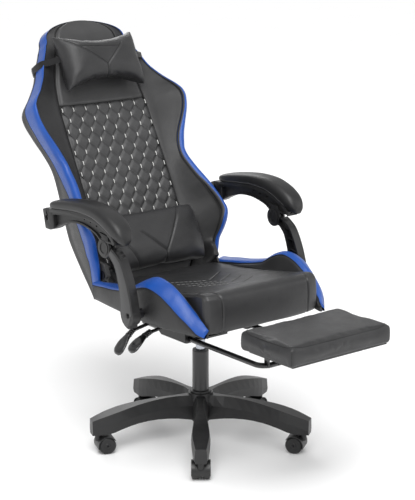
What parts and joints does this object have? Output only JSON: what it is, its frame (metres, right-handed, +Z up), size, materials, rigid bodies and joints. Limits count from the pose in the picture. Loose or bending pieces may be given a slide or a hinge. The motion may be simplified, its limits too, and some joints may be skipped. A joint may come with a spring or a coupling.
{
  "type": "gaming chair",
  "caption": "High-backed reclining chair with winged bolsters, level-keeping arms, pull-out footrest, head and lumbar pillows, gas lift and castered star base.",
  "frame": {"origin": "on the floor, under the middle of the gas column", "axes": "+Z up; the chair faces -Y; +X is towards the sitter's left"},
  "size_m": [0.682, 1.2501, 1.1834],
  "materials": {
    "black_leather": "fine-grained soft black synthetic leather",
    "blue_leather": "smooth royal blue synthetic leather",
    "rear_cover": "black backing cover",
    "elastic": "woven black elastic",
    "base_plastic": "satin black glass-filled nylon",
    "wheel_plastic": "satin black wheel nylon",
    "black_plastic": "textured black moulded plastic",
    "handle_plastic": "glossy black plastic",
    "arm_pad": "soft self-skinned black foam",
    "black_steel": "gloss black powder coat",
    "column_steel": "satin black powder coat",
    "bright_steel": "ground chrome",
    "zinc_steel": "zinc plated",
    "bearing_steel": "ground steel",
    "red_button": "red moulded plastic",
    "white_thread": "twisted polyester sewing thread",
    "plywood": "bare birch plywood"
  },
  "bodies": {
    "base": {"star_base": "base_plastic", "column_tube": "column_steel", "guide_bush": "black_plastic", "thrust_bearing": "bearing_steel", "caster_stems": "zinc_steel"},
    "rod": {"piston_rod": "bright_steel"},
    "seat": {"gas_cylinder": "bright_steel", "seat_plate": "column_steel", "plate_bolts": "zinc_steel", "lever_bracket": "column_steel", "seat_board": "plywood", "seat_cushion": "black_leather", "seat_side_left": "black_leather", "seat_side_right": "black_leather", "seat_trim": "blue_leather", "recliner_plates": "column_steel", "recliner_bolts": "zinc_steel", "strut_bolts": "zinc_steel", "footrest_guides": "column_steel", "footrest_covers": "black_plastic"},
    "button": {"release_button": "red_button"},
    "height_lever": {"height_lever_rod": "black_steel", "height_lever_handle": "handle_plastic"},
    "recline_lever": {"recline_lever_rod": "black_steel", "recline_lever_handle": "handle_plastic"},
    "rails": {"footrest_rails": "black_steel"},
    "foot_pad": {"footrest_board": "column_steel", "footrest_pad": "black_leather"},
    "strut_left": {"arm_strut_left": "black_plastic"},
    "strut_right": {"arm_strut_right": "black_plastic"},
    "arm_left": {"armrest_frame_left": "black_plastic", "armrest_pad_left": "arm_pad"},
    "arm_right": {"armrest_frame_right": "black_plastic", "armrest_pad_right": "arm_pad"},
    "back": {"back_frame": "column_steel", "recliner_arms": "column_steel", "armrest_bolts": "zinc_steel", "back_cushion": "black_leather", "back_side_left": "black_leather", "back_side_right": "black_leather", "back_trim": "blue_leather", "back_panel": "rear_cover", "head_pillow": "black_leather", "head_strap": "elastic", "lumbar_pillow": "black_leather"},
    "caster_1": {"caster_hood_1": "base_plastic", "caster_axle_1": "zinc_steel"},
    "wheels_1": {"caster_wheels_1": "wheel_plastic"},
    "caster_2": {"caster_hood_2": "base_plastic", "caster_axle_2": "zinc_steel"},
    "wheels_2": {"caster_wheels_2": "wheel_plastic"},
    "caster_3": {"caster_hood_3": "base_plastic", "caster_axle_3": "zinc_steel"},
    "wheels_3": {"caster_wheels_3": "wheel_plastic"},
    "caster_4": {"caster_hood_4": "base_plastic", "caster_axle_4": "zinc_steel"},
    "wheels_4": {"caster_wheels_4": "wheel_plastic"},
    "caster_5": {"caster_hood_5": "base_plastic", "caster_axle_5": "zinc_steel"},
    "wheels_5": {"caster_wheels_5": "wheel_plastic"}
  },
  "joints": [
    {"name": "seat_swivel", "type": "hinge", "parent": "base", "child": "rod", "pos_m": [0, 0, 0.2], "axis": [0, 0, 1], "continuous": true},
    {"name": "gas_lift_height", "type": "slide", "parent": "rod", "child": "seat", "axis": [0, 0, 1], "range_m": [0, 0.08]},
    {"name": "backrest_recline", "type": "hinge", "parent": "seat", "child": "back", "pos_m": [0, 0.195, 0.497], "axis": [-1, 0, 0], "range_deg": [-18, 17]},
    {"name": "lever_height", "type": "hinge", "parent": "seat", "child": "height_lever", "pos_m": [-0.076, 0, 0.404], "axis": [0, 1, 0], "range_deg": [0, 5], "stiffness_Nm_per_rad": 6, "springref_deg": -2.86},
    {"name": "lever_recline", "type": "hinge", "parent": "seat", "child": "recline_lever", "pos_m": [-0.076, 0, 0.404], "axis": [0, 1, 0], "range_deg": [0, 5], "stiffness_Nm_per_rad": 6, "springref_deg": -2.86},
    {"name": "button_press", "type": "slide", "parent": "seat", "child": "button", "axis": [0, 0, 1], "range_m": [-0.0073, 0]},
    {"name": "footrest_slide", "type": "slide", "parent": "seat", "child": "rails", "axis": [0, -1, 0], "range_m": [-0.06, 0.14]},
    {"name": "footrest_flip", "type": "hinge", "parent": "rails", "child": "foot_pad", "pos_m": [0, -0.405, 0.41], "axis": [-1, 0, 0], "range_deg": [0, 90]},
    {"name": "strut_left_pivot", "type": "hinge", "parent": "seat", "child": "strut_left", "pos_m": [0.308, -0.088, 0.461], "axis": [-1, 0, 0], "range_deg": [-18, 17]},
    {"name": "armrest_left_pivot", "type": "hinge", "parent": "back", "child": "arm_left", "pos_m": [0.308, 0.308, 0.664], "axis": [-1, 0, 0], "range_deg": [-17, 18]},
    {"name": "strut_right_pivot", "type": "hinge", "parent": "seat", "child": "strut_right", "pos_m": [-0.308, -0.088, 0.461], "axis": [-1, 0, 0], "range_deg": [-18, 17]},
    {"name": "armrest_right_pivot", "type": "hinge", "parent": "back", "child": "arm_right", "pos_m": [-0.308, 0.308, 0.664], "axis": [-1, 0, 0], "range_deg": [-17, 18]},
    {"name": "twin_caster_1_swivel", "type": "hinge", "parent": "base", "child": "caster_1", "pos_m": [-0.19085, -0.24428, 0.05], "axis": [0, 0, 1], "continuous": true},
    {"name": "wheel_pair_1_spin", "type": "hinge", "parent": "caster_1", "child": "wheels_1", "pos_m": [-0.17731, -0.22695, 0.025], "axis": [0.788, -0.6157, 0], "continuous": true},
    {"name": "twin_caster_2_swivel", "type": "hinge", "parent": "base", "child": "caster_2", "pos_m": [0.17335, -0.257, 0.05], "axis": [0, 0, 1], "continuous": true},
    {"name": "wheel_pair_2_spin", "type": "hinge", "parent": "caster_2", "child": "wheels_2", "pos_m": [0.16105, -0.23876, 0.025], "axis": [0.829, 0.5592, 0], "continuous": true},
    {"name": "twin_caster_3_swivel", "type": "hinge", "parent": "base", "child": "caster_3", "pos_m": [0.29799, 0.08545, 0.05], "axis": [0, 0, 1], "continuous": true},
    {"name": "wheel_pair_3_spin", "type": "hinge", "parent": "caster_3", "child": "wheels_3", "pos_m": [0.27684, 0.07938, 0.025], "axis": [-0.2756, 0.9613, 0], "continuous": true},
    {"name": "twin_caster_4_swivel", "type": "hinge", "parent": "base", "child": "caster_4", "pos_m": [0.01082, 0.30981, 0.05], "axis": [0, 0, 1], "continuous": true},
    {"name": "wheel_pair_4_spin", "type": "hinge", "parent": "caster_4", "child": "wheels_4", "pos_m": [0.01005, 0.28782, 0.025], "axis": [-0.9994, 0.0349, 0], "continuous": true},
    {"name": "twin_caster_5_swivel", "type": "hinge", "parent": "base", "child": "caster_5", "pos_m": [-0.2913, 0.10603, 0.05], "axis": [0, 0, 1], "continuous": true},
    {"name": "wheel_pair_5_spin", "type": "hinge", "parent": "caster_5", "child": "wheels_5", "pos_m": [-0.27063, 0.0985, 0.025], "axis": [-0.342, -0.9397, 0], "continuous": true}
  ],
  "couplings": [
    {"joint": "button_press", "follows": "lever_height", "m_per_rad": -0.083},
    {"joint": "strut_left_pivot", "follows": "backrest_recline", "ratio": 1},
    {"joint": "armrest_left_pivot", "follows": "backrest_recline", "ratio": -1},
    {"joint": "strut_right_pivot", "follows": "backrest_recline", "ratio": 1},
    {"joint": "armrest_right_pivot", "follows": "backrest_recline", "ratio": -1}
  ]
}
